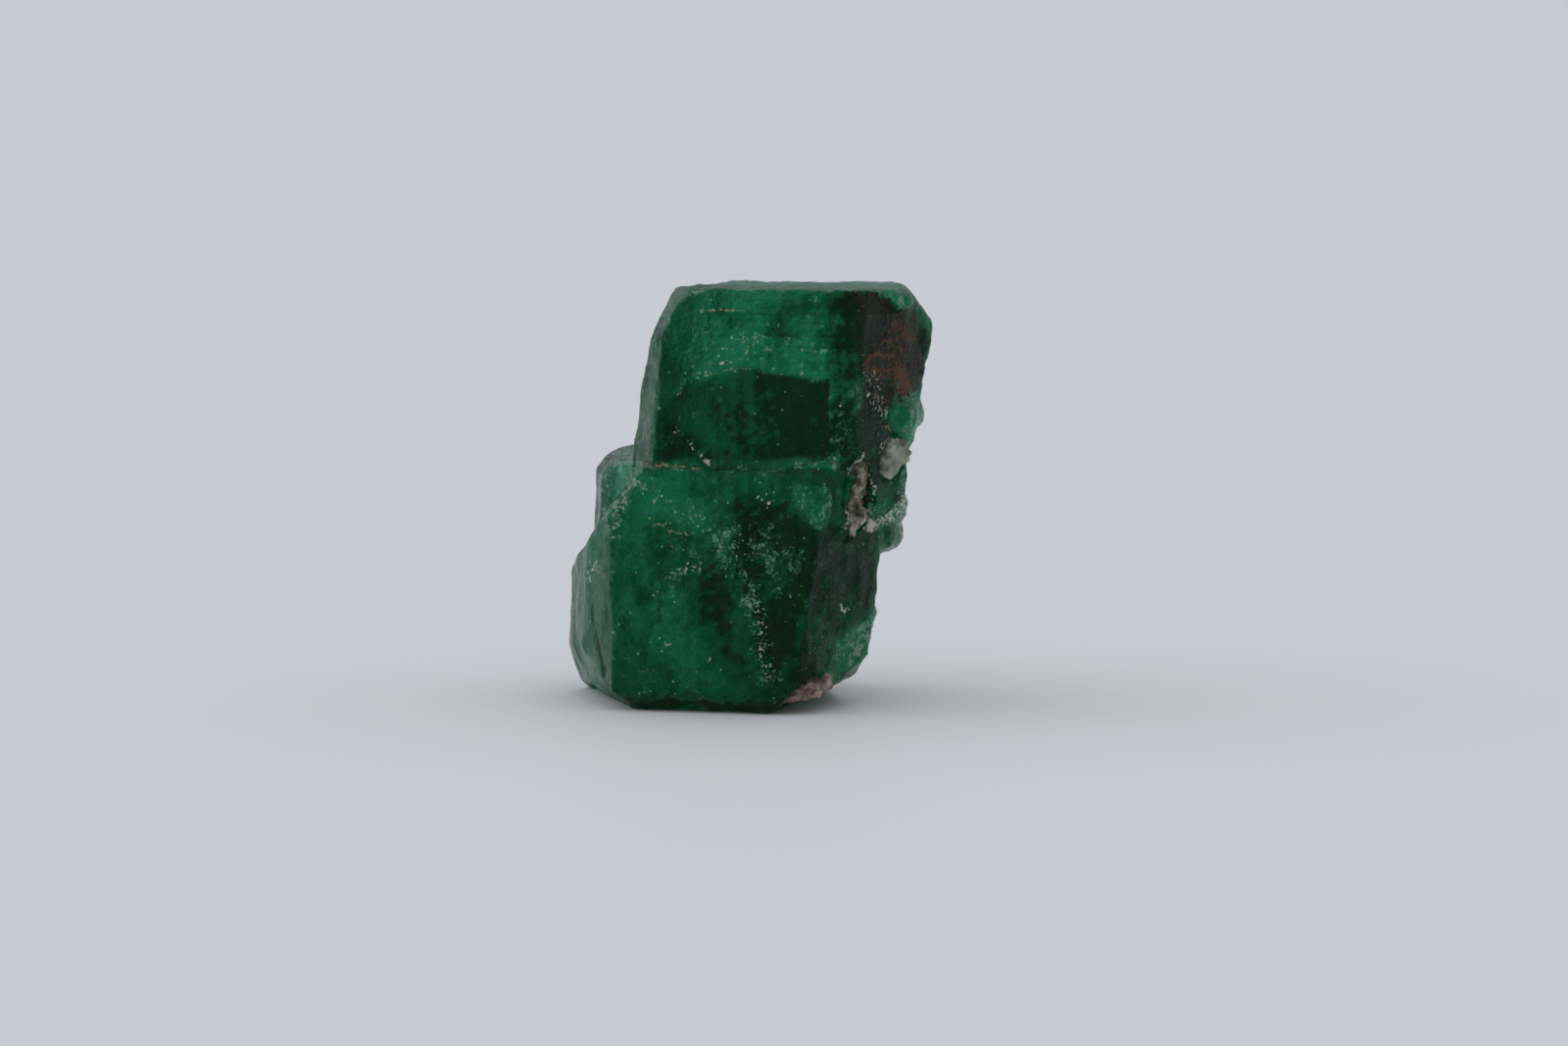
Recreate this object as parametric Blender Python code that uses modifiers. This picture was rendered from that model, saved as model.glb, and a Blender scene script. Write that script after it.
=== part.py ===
"""A rough emerald: two stacked hexagonal prisms, a side crystal and three scraps of white host rock.

Sizes are millimetres, turned to metres where a mesh is made. +X is the right of the specimen as it
faces a viewer at -Y, and +Z is up. The origin is under the middle of the specimen, on its resting face.
"""

import math
from typing import NamedTuple

import bmesh
import bpy
from mathutils import Matrix, Vector, noise

MM = 0.001
HEIGHT = 19.3
LEDGE_HEIGHT = 11.1
FINE_SPACING = 0.12
SOCKET_GAP = 0.2
EMERALD_TRIANGLES = 8000
BLOCK = 30.0

GROWTH_LINES = (15.9, 17.4)
GROOVE_LENGTH = 9.0
GROOVE_WIDTH = 0.24
GROOVE_DEPTH = 0.1
GROOVE_MIDDLE = 5.0
WINDOW_DEPTH = 0.12

BROAD_GROWTH = 0.11, (1.7, 1.7, 3.4), 21.0
SMALL_GROWTH = 0.05, (0.7, 0.7, 1.2), 22.0

EMERALD_GREEN = (0.10, 0.42, 0.26)
FELDSPAR_CREAM = (0.48, 0.45, 0.38)


class Facet(NamedTuple):
    """A flat crystal face: a point on it, the way it turns and how far it looks up, in degrees.

    A turn of 0 faces the viewer, 90 faces right and -90 faces left.
    """

    x: float
    y: float
    z: float
    turn: float
    rise: float

    @property
    def point(self) -> Vector:
        """A point of the face in metres."""
        return Vector((self.x, self.y, self.z)) * MM

    @property
    def normal(self) -> Vector:
        """The outward direction of the face."""
        turn, rise = math.radians(self.turn), math.radians(self.rise)
        return Vector((math.sin(turn) * math.cos(rise), -math.cos(turn) * math.cos(rise), math.sin(rise)))


LOWER_PRISM = [
    Facet(-6.45, -4.5, 5.5, -12, 4),
    Facet(2.62, -6.42, 5.0, 48, -5),
    Facet(5.75, -3.0, 5.0, 104, -6),
    Facet(0.0, 6.2, 5.0, 170, 2),
    Facet(-6.9, 4.4, 5.0, -128, 3),
    Facet(-8.2, 0.6, 4.3, -80, 2),
    Facet(-7.2, -3.1, 4.0, -62, 1),
    Facet(-6.75, 0.0, 8.3, -97, 38),
    Facet(-6.2, -4.4, 9.5, -58, 15),
    Facet(-2.0, -5.0, LEDGE_HEIGHT, 0, 88),
    Facet(-8.25, 1.0, 2.2, -78, -20),
    Facet(-7.95, 1.0, 0.9, -74, -50),
    Facet(6.25, -1.0, 2.75, 75, -42),
    Facet(-2.0, -5.55, 0.55, -14, -48),
    Facet(1.4, -6.3, 0.75, 22, -42),
    Facet(4.2, -1.0, 0.95, 72, -64),
]

UPPER_PRISM = [
    Facet(-4.6, -4.1, 11.0, -11, 5),
    Facet(3.6, -5.52, 13.0, 22, 2),
    Facet(5.2, -4.87, 13.0, 52, 1),
    Facet(8.35, -0.8, 17.0, 100, -12),
    Facet(8.3, 0.0, 16.7, 97, 2),
    Facet(0.0, 5.7, 12.0, 172, 3),
    Facet(-5.5, -1.07, 11.6, -112, 13),
    Facet(-4.42, -4.11, 11.3, -70, 4.5),
    Facet(0.0, -5.0, HEIGHT, 180, 88.5),
    Facet(-4.3, -1.2, 17.9, -76, 25),
    Facet(-3.75, -1.2, 18.9, -74, 45),
    Facet(7.7, 0.0, 18.3, 96, 36),
    Facet(5.5, -3.0, 8.0, 60, -62),
]

SIDE_CRYSTAL = [
    Facet(-6.2, 1.6, 8.0, -40, 2),
    Facet(-7.25, 3.6, 9.0, -84, 3),
    Facet(-6.4, 5.6, 9.0, -140, 4),
    Facet(-4.0, 6.3, 9.0, 170, 2),
    Facet(-1.0, 4.0, 8.0, 90, 0),
    Facet(-5.5, 3.5, 11.05, -60, 80),
    Facet(-7.0, 3.5, 10.3, -80, 38),
    Facet(-7.2, 3.6, 5.5, -100, -26),
]

LEDGE_STEP = [
    Facet(3.0, -5.95, 11.0, -6, 0),
    Facet(4.0, -5.5, 11.0, 78, 0),
    Facet(2.0, -5.5, 11.0, -90, 0),
    Facet(3.0, -5.5, 11.5, 0, 86),
    Facet(3.0, -5.95, 10.95, 0, -50),
    Facet(3.0, -4.3, 11.0, 180, 0),
]


def add_object(name: str, mesh: bpy.types.Mesh, collection: bpy.types.Collection) -> bpy.types.Object:
    """Wraps a mesh in an object of that name, in a collection."""
    made = bpy.data.objects.new(name, mesh)
    collection.objects.link(made)
    return made


def mesh_from(name: str, bm: bmesh.types.BMesh) -> bpy.types.Mesh:
    """Turns an edited mesh into a finished one, with its faces turned outward."""
    bmesh.ops.recalc_face_normals(bm, faces=bm.faces)
    mesh = bpy.data.meshes.new(name)
    bm.to_mesh(mesh)
    bm.free()
    return mesh


def cleave(bm: bmesh.types.BMesh, facet: Facet) -> None:
    """Splits off all that lies beyond a facet and closes the cut."""
    geometry = [*bm.verts, *bm.edges, *bm.faces]
    cut = bmesh.ops.bisect_plane(
        bm, geom=geometry, dist=1e-7, plane_co=facet.point, plane_no=facet.normal, clear_outer=True
    )
    edges = [item for item in cut["geom_cut"] if isinstance(item, bmesh.types.BMEdge)]
    if edges:
        bmesh.ops.contextual_create(bm, geom=edges)


def roughen(bm: bmesh.types.BMesh, depth: float, grain: tuple[float, float, float], seed: float) -> None:
    """Moves each point along its normal by smooth noise.

    Args:
        bm: the mesh to roughen.
        depth: the most that a point moves, in millimetres.
        grain: the size of the noise along X, Y and Z, in millimetres.
        seed: shifts the noise, so that no two pieces have the same.
    """
    bm.normal_update()
    moves = []
    for vert in bm.verts:
        place = Vector(c / MM / g + seed for c, g in zip(vert.co, grain))
        moves.append(vert.normal * noise.fractal(place, 1.0, 2.0, 3) * depth * MM)
    for vert, move in zip(bm.verts, moves):
        vert.co += move


def prism(name: str, facets: list[Facet]) -> bpy.types.Mesh:
    """A crystal cleaved out of a block by its facets."""
    bm = bmesh.new()
    bmesh.ops.create_cube(bm, size=2 * BLOCK * MM)
    for facet in facets:
        cleave(bm, facet)
    return mesh_from(name, bm)


def lump(
    name: str,
    centre: tuple[float, float, float],
    radii: tuple[float, float, float],
    relief: float,
    seed: float,
    turn: float = 0.0,
    growth: float = 0.0,
) -> bpy.types.Mesh:
    """A rounded, uneven body: a stretched sphere with bumps.

    Args:
        name: the mesh's name.
        centre: its middle in millimetres.
        radii: half its size along X, Y and Z in millimetres.
        relief: the height of its bumps in millimetres.
        seed: shifts its bumps.
        turn: its tilt about the viewing axis, in degrees.
        growth: how much wider it is all round in millimetres, for the socket that holds it.

    Returns:
        The finished mesh.
    """
    bm = bmesh.new()
    bmesh.ops.create_icosphere(bm, subdivisions=3, radius=MM)
    bmesh.ops.scale(bm, vec=[radius + growth for radius in radii], verts=bm.verts)
    bmesh.ops.rotate(bm, matrix=Matrix.Rotation(math.radians(turn), 3, "Y"), verts=bm.verts)
    roughen(bm, relief, (0.9, 0.9, 0.9), seed)
    bmesh.ops.translate(bm, vec=Vector(centre) * MM, verts=bm.verts)
    return mesh_from(name, bm)


def plate(name: str, outline: list[tuple[float, float]], facet: Facet, thickness: float) -> bpy.types.Mesh:
    """A thin sheet on a crystal face, extruded from a flat outline. It cuts the window below the later growth.

    Args:
        name: the mesh's name.
        outline: its corners as (across, up) in millimetres, measured on the face from the facet's point.
        facet: the crystal face that it lies on.
        thickness: how far it stands out in millimetres. It reaches as far again into the face.

    Returns:
        The finished mesh.
    """
    curve = bpy.data.curves.new(name, "CURVE")
    curve.dimensions = "2D"
    curve.fill_mode = "BOTH"
    curve.extrude = thickness * MM
    spline = curve.splines.new("POLY")
    spline.points.add(len(outline) - 1)
    for corner, (across, up) in zip(spline.points, outline):
        corner.co = (across * MM, up * MM, 0, 1)
    spline.use_cyclic_u = True
    flat = bpy.data.objects.new(name, curve)
    mesh = bpy.data.meshes.new_from_object(flat)
    bpy.data.objects.remove(flat)
    stand = facet.normal.to_track_quat("Z", "Y").to_matrix().to_4x4()
    bm = bmesh.new()
    bm.from_mesh(mesh)
    bmesh.ops.remove_doubles(bm, verts=bm.verts, dist=1e-7)
    bmesh.ops.transform(bm, matrix=Matrix.Translation(facet.point) @ stand, verts=bm.verts)
    bpy.data.meshes.remove(mesh)
    return mesh_from(name, bm)


def groove(name: str, height: float) -> bpy.types.Mesh:
    """A shallow growth line across the front of the upper prism: a thin turned bar that cuts it."""
    front = UPPER_PRISM[0]
    bm = bmesh.new()
    bmesh.ops.create_cube(bm, size=1.0)
    bmesh.ops.scale(bm, vec=Vector((GROOVE_LENGTH, 2 * GROOVE_DEPTH, GROOVE_WIDTH)) * MM, verts=bm.verts)
    bmesh.ops.rotate(bm, matrix=Matrix.Rotation(math.radians(front.turn), 3, "Z"), verts=bm.verts)
    back = (height - front.z) * math.tan(math.radians(front.rise))
    aside = GROOVE_MIDDLE * math.tan(math.radians(front.turn))
    middle = front.point + Vector((GROOVE_MIDDLE, back + aside, 0)) * MM
    middle.z = height * MM
    bmesh.ops.translate(bm, vec=middle, verts=bm.verts)
    return mesh_from(name, bm)


def floor_block(name: str) -> bpy.types.Mesh:
    """The block that takes off all below the resting face."""
    bm = bmesh.new()
    bmesh.ops.create_cube(bm, size=BLOCK * MM, matrix=Matrix.Translation((0, 0, -BLOCK / 2 * MM)))
    return mesh_from(name, bm)


def combine(target: bpy.types.Object, tool: bpy.types.Object, operation: str) -> None:
    """Adds an exact Boolean of the tool to the target."""
    modifier = target.modifiers.new(f"{operation.lower()} {tool.name}", "BOOLEAN")
    modifier.operation = operation
    modifier.solver = "EXACT"
    modifier.object = tool


def material(name: str, colour: tuple[float, float, float], roughness: float, clear: float) -> bpy.types.Material:
    """A Principled material of one colour, clear where the mineral is."""
    made = bpy.data.materials.new(name)
    made.use_nodes = True
    shader = made.node_tree.nodes["Principled BSDF"]
    shader.inputs["Base Color"].default_value = (*colour, 1.0)
    shader.inputs["Roughness"].default_value = roughness
    shader.inputs["Metallic"].default_value = 0.0
    shader.inputs["IOR"].default_value = 1.58
    shader.inputs["Transmission Weight"].default_value = clear
    return made


class Scrap(NamedTuple):
    """A scrap of host rock, given as the arguments of lump."""

    name: str
    centre: tuple[float, float, float]
    radii: tuple[float, float, float]
    relief: float
    seed: float
    turn: float


SCRAPS = [
    Scrap("feldspar_notch", (6.1, -2.7, 11.5), (1.05, 0.95, 1.0), 0.25, 4.1, -25.0),
    Scrap("feldspar_seam", (4.75, -4.75, 9.7), (0.45, 0.5, 1.7), 0.25, 7.7, 6.0),
    Scrap("feldspar_foot", (2.35, -5.3, 1.02), (1.15, 0.8, 0.42), 0.12, 9.3, -14.0),
]

LUMPS = [
    lump("lobe", (5.2, -0.9, 9.2), (2.05, 3.1, 1.7), 0.3, 1.3),
    lump("wedge", (5.5, -0.5, 8.1), (1.7, 2.7, 1.2), 0.2, 8.4, 28.0),
    lump("flap", (7.0, -0.7, 13.3), (0.9, 2.6, 1.2), 0.2, 2.6, 18.0),
    lump("knob", (5.25, -1.2, 3.9), (0.55, 1.9, 0.7), 0.15, 3.9),
    lump("top knob", (6.75, -2.2, 18.6), (0.75, 1.4, 0.6), 0.08, 6.5),
]

CHIPS = [
    lump("notch", (8.4, -2.2, 11.3), (1.45, 2.0, 1.1), 0.1, 11.0),
    lump("pit", (5.35, -4.5, 9.6), (0.35, 0.8, 0.5), 0.08, 12.0),
    lump("left shoulder", (-6.6, -5.9, 9.6), (0.75, 1.3, 1.3), 0.2, 13.0),
    lump("right corner", (5.8, -5.2, 1.1), (2.15, 1.8, 1.9), 0.25, 14.0),
    lump("top corner", (8.6, 0.5, 19.4), (1.25, 5.0, 1.0), 0.1, 17.0),
    lump("back shell", (1.5, 8.3, 8.0), (4.0, 2.8, 4.5), 0.2, 15.0),
    lump("back top chip", (-2.8, 6.9, 18.6), (2.2, 2.2, 1.6), 0.15, 16.0),
]

CLEAR_WINDOW = [
    (-0.8, 2.5), (0.6, 2.8), (1.5, 3.3), (2.6, 4.0), (3.6, 4.45), (4.6, 4.5), (5.6, 4.3), (6.6, 4.1), (8.1, 3.95),
    (8.2, 0.15), (-0.8, 0.15),
]


def weather(target: bpy.types.Object) -> None:
    """Turns the joined solid into one even mesh and gives its faces the uneven growth of a rough crystal.

    The fine mesh is then thinned where it is flat, and its resting face is kept flat.
    """
    remesh = target.modifiers.new("fine mesh", "REMESH")
    remesh.mode = "VOXEL"
    remesh.voxel_size = FINE_SPACING * MM
    graph = bpy.context.evaluated_depsgraph_get()
    fine = bpy.data.meshes.new_from_object(target.evaluated_get(graph))
    target.modifiers.clear()
    bm = bmesh.new()
    bm.from_mesh(fine)
    roughen(bm, *BROAD_GROWTH)
    roughen(bm, *SMALL_GROWTH)
    for vert in bm.verts:
        if vert.co.z < FINE_SPACING * MM:
            vert.co.z = 0.0
    bmesh.ops.triangulate(bm, faces=bm.faces)
    triangles = len(bm.faces)
    bm.to_mesh(fine)
    bm.free()
    target.data = fine
    thin = target.modifiers.new("thin out", "DECIMATE")
    thin.ratio = EMERALD_TRIANGLES / triangles


def centre(pieces: list[bpy.types.Object]) -> None:
    """Moves the pieces together, so that the origin is under the middle of their box."""
    graph = bpy.context.evaluated_depsgraph_get()
    meshes = [piece.evaluated_get(graph).data for piece in pieces]
    places = [vert.co for mesh in meshes for vert in mesh.vertices]
    low, high = ([limit(place[axis] for place in places) for axis in range(3)] for limit in (min, max))
    middle = Vector(((low[0] + high[0]) / 2, (low[1] + high[1]) / 2, low[2]))
    for piece in pieces:
        piece.location = -middle


def main() -> None:
    """Builds the specimen."""
    for obj in list(bpy.data.objects):
        bpy.data.objects.remove(obj)
    parts = bpy.data.collections.new("raw_emerald_crystal")
    cutters = bpy.data.collections.new("cutters")
    for collection in (parts, cutters):
        bpy.context.scene.collection.children.link(collection)

    emerald = add_object("emerald_crystal", prism("emerald_crystal", LOWER_PRISM), parts)
    joined = [
        prism("upper prism", UPPER_PRISM),
        prism("side crystal", SIDE_CRYSTAL),
        prism("ledge step", LEDGE_STEP),
        *LUMPS,
    ]
    sockets = [lump(f"{scrap.name} socket", *scrap[1:], growth=SOCKET_GAP) for scrap in SCRAPS]
    lines = [groove(f"growth line {height}", height) for height in GROWTH_LINES]
    window = plate("clear window", CLEAR_WINDOW, UPPER_PRISM[0], WINDOW_DEPTH)
    removed = [window, *CHIPS, *lines, *sockets, floor_block("floor")]
    for operation, meshes in (("UNION", joined), ("DIFFERENCE", removed)):
        for mesh in meshes:
            combine(emerald, add_object(mesh.name, mesh, cutters), operation)
    weather(emerald)
    emerald.data.materials.append(material("emerald", EMERALD_GREEN, 0.2, 1.0))

    feldspar = material("feldspar", FELDSPAR_CREAM, 0.7, 0.0)
    for scrap in SCRAPS:
        add_object(scrap.name, lump(*scrap), parts).data.materials.append(feldspar)

    centre(list(parts.objects))
    for cutter in cutters.objects:
        cutter.hide_render = True
        cutter.display_type = "WIRE"


main()
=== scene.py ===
"""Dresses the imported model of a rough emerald: fine relief, etched beryl, host rock and a studio."""

from __future__ import annotations

import logging
from dataclasses import dataclass, field
from enum import Enum

import bmesh
import bpy
import numpy as np
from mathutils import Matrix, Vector


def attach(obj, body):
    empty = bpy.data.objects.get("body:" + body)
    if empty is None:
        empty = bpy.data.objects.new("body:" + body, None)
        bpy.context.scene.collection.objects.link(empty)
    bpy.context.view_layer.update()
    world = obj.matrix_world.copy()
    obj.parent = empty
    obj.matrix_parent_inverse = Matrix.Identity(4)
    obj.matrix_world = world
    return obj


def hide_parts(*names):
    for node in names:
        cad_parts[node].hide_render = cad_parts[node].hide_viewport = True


log = logging.getLogger("emerald")
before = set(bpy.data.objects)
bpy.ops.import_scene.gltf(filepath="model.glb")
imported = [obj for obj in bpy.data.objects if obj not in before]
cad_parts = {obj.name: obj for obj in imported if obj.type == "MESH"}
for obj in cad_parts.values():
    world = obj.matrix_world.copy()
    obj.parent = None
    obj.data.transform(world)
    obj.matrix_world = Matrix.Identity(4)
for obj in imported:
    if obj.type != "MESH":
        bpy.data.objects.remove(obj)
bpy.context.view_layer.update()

MM = 0.001
BODY = "root"

# Corners closer than the first, in metres, are one. The second keeps a division from failing.
WELD_GAP = 1e-7
TINY = 1e-9

# An integer hash gives each corner of a lattice its random value.
CORNER_PRIMES = np.array([73856093, 19349663, 83492791], dtype=np.uint32)
SEED_FACTOR = 2654435
HASH_ROUNDS = ((15, 2246822519), (13, 3266489917))
LAST_SHIFT = 16
HASH_MOST = 4294967295
# This keeps the numbers of the lattice's cells above zero.
LATTICE_SHIFT = 100.5

# The directions of a face between which it begins to count and counts in full: the size of its normal's
# Z for an upright face, its Z for a top, and minus its Y for the far side and for the front.
UPRIGHT_FACES = (0.6, 0.25)
TOP_FACES = (0.8, 0.95)
FAR_FACES = (0.1, -0.15)
FRONT_FACES = (-0.1, 0.3)

Path = tuple[tuple[float, float], ...]
Tree = bpy.types.NodeTree
Socket = bpy.types.NodeSocket


class Zone(Enum):
    """The per-point masks that the crystal's finish reads, each from 0 to 1."""

    # TINT is the crystal's own tone, and through several marks and masks also painted glow and painted shade.
    TINT = "tint"
    FROST = "frost"
    STAIN = "stain"
    RUST = "rust"
    CHALK = "chalk"
    TAN = "tan"
    MATT = "matt"
    CALM = "calm"


class Etching(Enum):
    """The sizes of etching that break up the crystal's finish."""

    FINE = "fine"
    MIDDLE = "middle"
    BROAD = "broad"
    MIXED = "fine and middle"


def srgb(code: str) -> tuple[float, float, float, float]:
    """Turns an sRGB hex colour to linear values.

    Args:
        code: six hex digits, with or without a leading #.

    Returns:
        Red, green, blue and an alpha of 1.
    """
    parts = [int(code.lstrip("#")[i : i + 2], 16) / 255 for i in (0, 2, 4)]
    linear = [c / 12.92 if c <= 0.04045 else ((c + 0.055) / 1.055) ** 2.4 for c in parts]
    return (*linear, 1.0)


def cells(size: float) -> float:
    """The scale of a shader pattern, in cells a metre, whose cells have a size in millimetres."""
    return 1.0 / (size * MM)


def add(tree: Tree, kind: str, inputs: dict | None = None, **settings) -> bpy.types.Node:
    """Adds a node to a tree, with its settings and links.

    Args:
        tree: the node tree.
        kind: the node's type, without the leading ShaderNode.
        inputs: socket name or number to a value or to the output socket that feeds it.
        settings: attributes of the node.

    Returns:
        The new node.
    """
    node = tree.nodes.new(f"ShaderNode{kind}")
    for name, value in settings.items():
        setattr(node, name, value)
    for name, value in (inputs or {}).items():
        if isinstance(value, Socket):
            tree.links.new(value, node.inputs[name])
        else:
            node.inputs[name].default_value = value
    return node


def smoothstep(low: float, high: float, value: np.ndarray) -> np.ndarray:
    """The ramp 3t^2 - 2t^3, with t running from 0 at low to 1 at high."""
    t = np.clip((value - low) / (high - low), 0.0, 1.0)
    return t * t * (3.0 - 2.0 * t)


def lattice_noise(points: np.ndarray, grain: np.ndarray, seed: int) -> np.ndarray:
    """Smooth noise from -1 to 1: random corner values of a lattice, blended by 6t^5 - 15t^4 + 10t^3.

    Args:
        points: places in millimetres, one row each.
        grain: the lattice's cell size along X, Y and Z in millimetres.
        seed: picks the random values.

    Returns:
        One value for each place.
    """
    cell = points / grain + LATTICE_SHIFT
    low = np.floor(cell)
    t = cell - low
    t = t * t * t * (t * (t * 6.0 - 15.0) + 10.0)
    low = low.astype(np.uint32)
    salt = np.uint32(seed * SEED_FACTOR % HASH_MOST)
    total = np.zeros(len(points))
    for corner in np.ndindex(2, 2, 2):
        step = np.array(corner, dtype=np.uint32)
        weight = np.prod(np.where(step == 1, t, 1.0 - t), axis=1)
        key = (low + step) * CORNER_PRIMES
        mixed = key[:, 0] ^ key[:, 1] ^ key[:, 2] ^ salt
        for shift, factor in HASH_ROUNDS:
            mixed = (mixed ^ (mixed >> np.uint32(shift))) * np.uint32(factor)
        mixed ^= mixed >> np.uint32(LAST_SHIFT)
        total += weight * (mixed.astype(np.float64) / (0.5 * HASH_MOST) - 1.0)
    return total


@dataclass(frozen=True)
class Pattern:
    """A smooth random pattern, with its cell size along X, Y and Z in millimetres.

    Each layer after the first is half as coarse and half as strong, and the sum of several layers is
    divided by 1.5. An edge turns the pattern to soft patches, 0 below its first value and 1 above its
    second.
    """

    grain: tuple[float, float, float]
    seed: int
    layers: int = 1
    edge: tuple[float, float] | None = None

    def at(self, points: np.ndarray) -> np.ndarray:
        """The pattern's value at each place.

        Args:
            points: places in millimetres, one row each.

        Returns:
            One value for each place, about -1 to 1, or from 0 to 1 where the pattern has an edge.
        """
        size = np.array(self.grain)
        layers = (0.5**k * lattice_noise(points, size / 2**k, self.seed + k) for k in range(self.layers))
        value = sum(layers) / (1.5 if self.layers > 1 else 1.0)
        return smoothstep(*self.edge, value) if self.edge else value


# The relief of the crystal's skin.
UNEVEN = Pattern((0.9, 0.9, 1.6), 3, 4)
RIBS = Pattern((0.3, 0.3, 4.5), 11)
GROWTH_STEPS = Pattern((5.0, 5.0, 0.22), 13, 1, (0.25, 0.5))
RIPPLES = Pattern((4.0, 0.5, 4.0), 17, 3)
PITS = Pattern((0.35, 0.35, 0.35), 19, 1, (0.3, 0.55))
PITTED_PATCHES = Pattern((2.5, 2.5, 2.5), 23, 1, (0.0, 0.4))
CHIPS = Pattern((0.55, 0.55, 0.8), 29, 1, (0.05, 0.35))
# The crystal's colours and coats.
CLOUDS = Pattern((2.2, 2.2, 2.6), 31, 3, (0.1, 0.7))
STREAKS = Pattern((0.8, 0.8, 5.0), 37, 3, (0.25, 0.7))
VEILS = Pattern((6.0, 6.0, 0.35), 41, 1, (0.15, 0.55))
SLANTED_LINES = Pattern((1.3, 1.3, 0.24), 43)
SLANTED_PATCHES = Pattern((2.0, 2.0, 2.0), 44, 1, (-1.0, 0.5))
MOTTLES = Pattern((2.0, 2.0, 2.6), 47, 5)
TAN_SPOTS = Pattern((1.3, 1.3, 0.8), 53, 3, (0.45, 0.8))
STAINED_HOLLOWS = Pattern((2.0, 2.0, 2.0), 59, 3, (-0.1, 0.5))
STAIN_AND_SHADE_PATCHES = Pattern((3.2, 3.2, 3.2), 61, 3, (0.35, 0.6))
CHALK_SPOTS = Pattern((1.0, 1.0, 1.6), 67, 3, (0.5, 0.8))
RUST_SPOTS = Pattern((0.8, 0.8, 0.8), 71, 3, (0.1, 0.6))
FROST_PATCHES = Pattern((0.6, 0.6, 0.6), 73, 3, (-0.6, 0.4))
GROWTH_BANDS = Pattern((7.0, 7.0, 0.16), 75)
COLUMNS = Pattern((0.22, 0.22, 4.0), 77)
# How the outlines of the marks waver.
WAVER_ACROSS = Pattern((0.5, 0.5, 0.5), 81, 3)
WAVER_UP = Pattern((0.5, 0.5, 0.5), 83, 3)
# The crust of the host rock.
LUMPS = Pattern((0.55, 0.55, 0.55), 91, 4)
CRUMBS = Pattern((0.26, 0.26, 0.26), 95, 2)

# How much each mask of the crystal's skin adds to a zone.
RECIPE = {
    Zone.TINT: {
        "everywhere": 0.5,
        # Painted glow: the left side is made paler, as if lit through from behind.
        "backlit side": 0.35,
        # Painted light from above: the top is made paler.
        "top": 0.2,
        "growth bands": 0.08,
        "mottles": 0.24,
        "slanted lines": 0.12,
        "columns": 0.09,
    },
    # Frost on the top and on worn edges is real etching and wear, and also paints the top's grey reflection
    # and the edges' bright rims.
    Zone.FROST: {"everywhere": 0.14, "clouds": 0.25, "streaks": 0.12, "veils": 0.1, "edge": 0.35, "top": 0.2},
    # The far right patch is a stain and also painted shade for the front seen through it.
    Zone.STAIN: {"stained hollow": 0.45, "stain and shade patch": 0.9},
    Zone.RUST: {"rusted hollow": 0.225, "rusted patch": 0.45},
    Zone.CHALK: {"chalk spots": 0.6, "edge": 0.12},
    Zone.TAN: {"tan spots": 0.6, "hollow": 0.35},
    Zone.MATT: {"top": 0.6, "edge": 0.25},
    Zone.CALM: {},
}


def polished(name: str, points: np.ndarray, faces: list[tuple[int, ...]]) -> bpy.types.Object:
    """Makes a smooth-shaded mesh object that sits at the origin.

    Args:
        name: the piece's name.
        points: corners in metres, one row each.
        faces: corner numbers of each face.

    Returns:
        The object, linked to the scene.
    """
    mesh = bpy.data.meshes.new(name)
    mesh.from_pydata(points.tolist(), [], faces)
    mesh.shade_smooth()
    piece = bpy.data.objects.new(name, mesh)
    bpy.context.scene.collection.objects.link(piece)
    return piece


def read_vectors(collection: bpy.types.bpy_prop_collection, key: str) -> np.ndarray:
    """Reads a three-number property of every item of a mesh.

    Args:
        collection: the mesh's items, such as its vertices.
        key: the property's name.

    Returns:
        One row for each item.
    """
    values = np.empty(len(collection) * 3)
    collection.foreach_get(key, values)
    return values.reshape(-1, 3)


def fine_copy(node: str, name: str, spacing: float) -> bpy.types.Object:
    """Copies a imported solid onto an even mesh, fine enough to carry relief.

    Args:
        node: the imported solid.
        name: the copy's name.
        spacing: the cell width in millimetres.

    Returns:
        The copy, linked to the scene.
    """
    bm = bmesh.new()
    bm.from_mesh(bpy.data.objects[node].data)
    bmesh.ops.remove_doubles(bm, verts=bm.verts, dist=WELD_GAP)
    coarse = bpy.data.meshes.new("coarse copy")
    bm.to_mesh(coarse)
    bm.free()
    draft = bpy.data.objects.new("coarse copy", coarse)
    bpy.context.scene.collection.objects.link(draft)
    remesh = draft.modifiers.new("fine mesh", "REMESH")
    remesh.mode = "VOXEL"
    remesh.voxel_size = spacing * MM
    graph = bpy.context.evaluated_depsgraph_get()
    fine = bpy.data.meshes.new_from_object(draft.evaluated_get(graph))
    bpy.data.objects.remove(draft)
    fine.shade_smooth()
    piece = bpy.data.objects.new(name, fine)
    bpy.context.scene.collection.objects.link(piece)
    return piece


def dress(piece: bpy.types.Object, node: str, finish: EtchedBeryl | Feldspar) -> None:
    """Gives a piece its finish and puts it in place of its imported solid.

    Args:
        piece: the piece.
        node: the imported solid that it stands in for.
        finish: what it is made of.
    """
    piece.data.materials.clear()
    piece.data.materials.append(finish.material())
    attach(piece, BODY)
    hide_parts(node)
    log.info("%s: %d faces", piece.name, len(piece.data.polygons))


def along(x: np.ndarray, z: np.ndarray, path: Path) -> np.ndarray:
    """The distance in millimetres from each place to the nearest leg of an open path.

    The foot of a leg is at t = (place - start) . leg / |leg|^2 of the way along it, held between 0 and 1.

    Args:
        x: places across the front.
        z: their heights.
        path: the path's corners.

    Returns:
        One distance for each place.
    """
    best = np.full(len(x), np.inf)
    for (ax, az), (bx, bz) in zip(path, path[1:]):
        dx, dz = bx - ax, bz - az
        t = np.clip(((x - ax) * dx + (z - az) * dz) / max(dx * dx + dz * dz, TINY), 0.0, 1.0)
        best = np.minimum(best, np.hypot(x - ax - t * dx, z - az - t * dz))
    return best


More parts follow.
